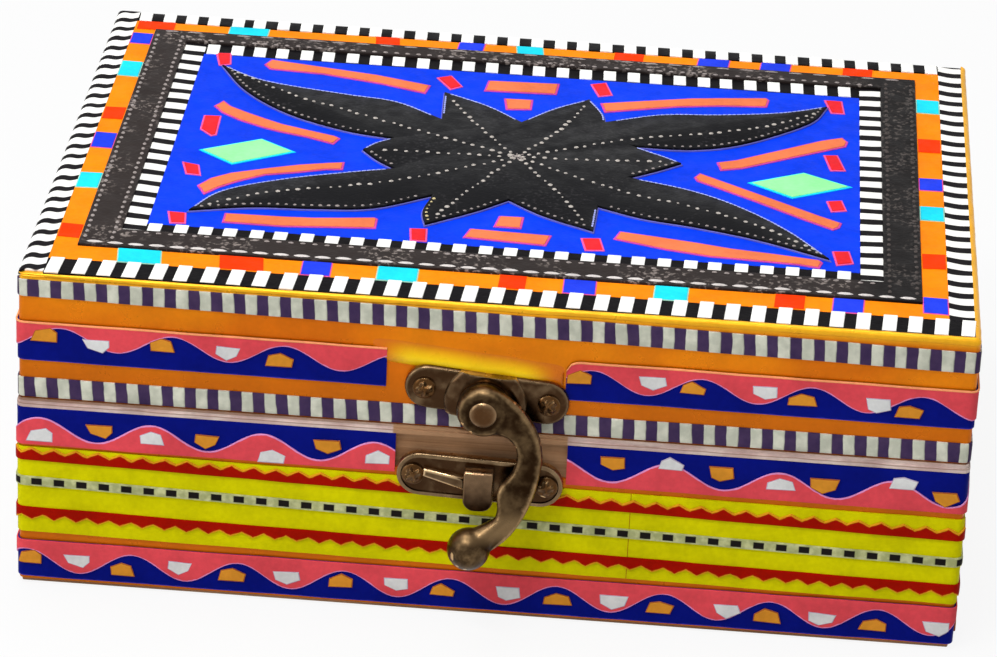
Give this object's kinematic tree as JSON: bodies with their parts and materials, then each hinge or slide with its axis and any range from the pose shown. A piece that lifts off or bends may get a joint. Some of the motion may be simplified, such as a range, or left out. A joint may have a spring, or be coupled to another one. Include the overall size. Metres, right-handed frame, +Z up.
{
  "type": "decorative storage box",
  "caption": "Low wooden box with a hinged lid and a swing-hook latch, wrapped in golden foil and strips of coloured, patterned leather with a black flower on the lid.",
  "frame": {"origin": "centre of the box's underside, on the surface it stands on", "axes": "+X along the width to the right seen from the front, -Y towards the front with the latch, +Z up through the lid"},
  "size_m": [0.165, 0.1345, 0.0608],
  "materials": {
    "bare_wood": "matt",
    "pale_edging": "matt",
    "golden_foil": "glossy",
    "black_leather": "satin",
    "bright_blue_leather": "satin",
    "orange_leather": "satin",
    "black_and_white_leather": "satin",
    "striped_leather": "satin",
    "dashed_leather": "satin",
    "navy_leather": "satin",
    "pink_leather": "satin",
    "lime_leather": "satin",
    "red_leather": "satin",
    "bronze": "satin",
    "hinge_brass": "satin"
  },
  "bodies": {
    "base": {"base_floor_panel": "bare_wood", "base_front_wall": "bare_wood", "base_back_wall": "bare_wood", "base_left_wall": "bare_wood", "base_right_wall": "bare_wood", "base_cover": "golden_foil", "base_rim_edging": "pale_edging", "base_wave_upper_blue": "navy_leather", "base_wave_upper_pink": "pink_leather", "base_lime_band": "lime_leather", "base_wave_lower_blue": "navy_leather", "base_wave_lower_pink": "pink_leather", "base_red_zigzag_upper": "red_leather", "base_red_zigzag_lower": "red_leather", "base_dash_strip": "dashed_leather", "latch_lower_plate": "bronze", "latch_screw_lower_left": "bronze", "latch_screw_lower_right": "bronze", "hinge_left_base_leaf": "hinge_brass", "hinge_left_pin": "hinge_brass", "hinge_left_base_screw_inner": "hinge_brass", "hinge_left_base_screw_outer": "hinge_brass", "hinge_right_base_leaf": "hinge_brass", "hinge_right_pin": "hinge_brass", "hinge_right_base_screw_inner": "hinge_brass", "hinge_right_base_screw_outer": "hinge_brass"},
    "lid": {"lid_top_panel": "bare_wood", "lid_front_rail": "bare_wood", "lid_back_rail": "bare_wood", "lid_left_rail": "bare_wood", "lid_right_rail": "bare_wood", "lid_cover": "golden_foil", "top_zebra_strip_left": "black_and_white_leather", "top_zebra_strip_right": "black_and_white_leather", "top_check_strip_back": "black_and_white_leather", "top_check_strip_front": "black_and_white_leather", "top_block_border": "orange_leather", "top_leather_frame": "black_leather", "inner_zebra_strip_left": "black_and_white_leather", "inner_zebra_strip_right": "black_and_white_leather", "inner_check_strip_front": "black_and_white_leather", "inner_check_strip_back": "black_and_white_leather", "top_flower": "black_leather", "top_blue_field": "bright_blue_leather", "lid_stripe_band_upper": "striped_leather", "lid_stripe_band_lower": "striped_leather", "lid_wave_blue": "navy_leather", "lid_wave_pink": "pink_leather", "latch_rivet": "bronze", "latch_upper_plate": "bronze", "latch_screw_upper_left": "bronze", "latch_screw_upper_right": "bronze", "hinge_left_lid_leaf": "hinge_brass", "hinge_left_lid_screw_inner": "hinge_brass", "hinge_left_lid_screw_outer": "hinge_brass", "hinge_right_lid_leaf": "hinge_brass", "hinge_right_lid_screw_inner": "hinge_brass", "hinge_right_lid_screw_outer": "hinge_brass"},
    "hook": {"latch_hook": "bronze"}
  },
  "joints": [
    {"name": "lid_hinge", "type": "hinge", "parent": "base", "child": "lid", "pos_m": [0, 0.0614, 0.0362], "axis": [-1, 0, 0], "range_deg": [0, 180]},
    {"name": "hook_swing", "type": "hinge", "parent": "lid", "child": "hook", "pos_m": [-0.0013, -0.063, 0.0423], "axis": [0, -1, 0], "range_deg": [0, 180]}
  ]
}
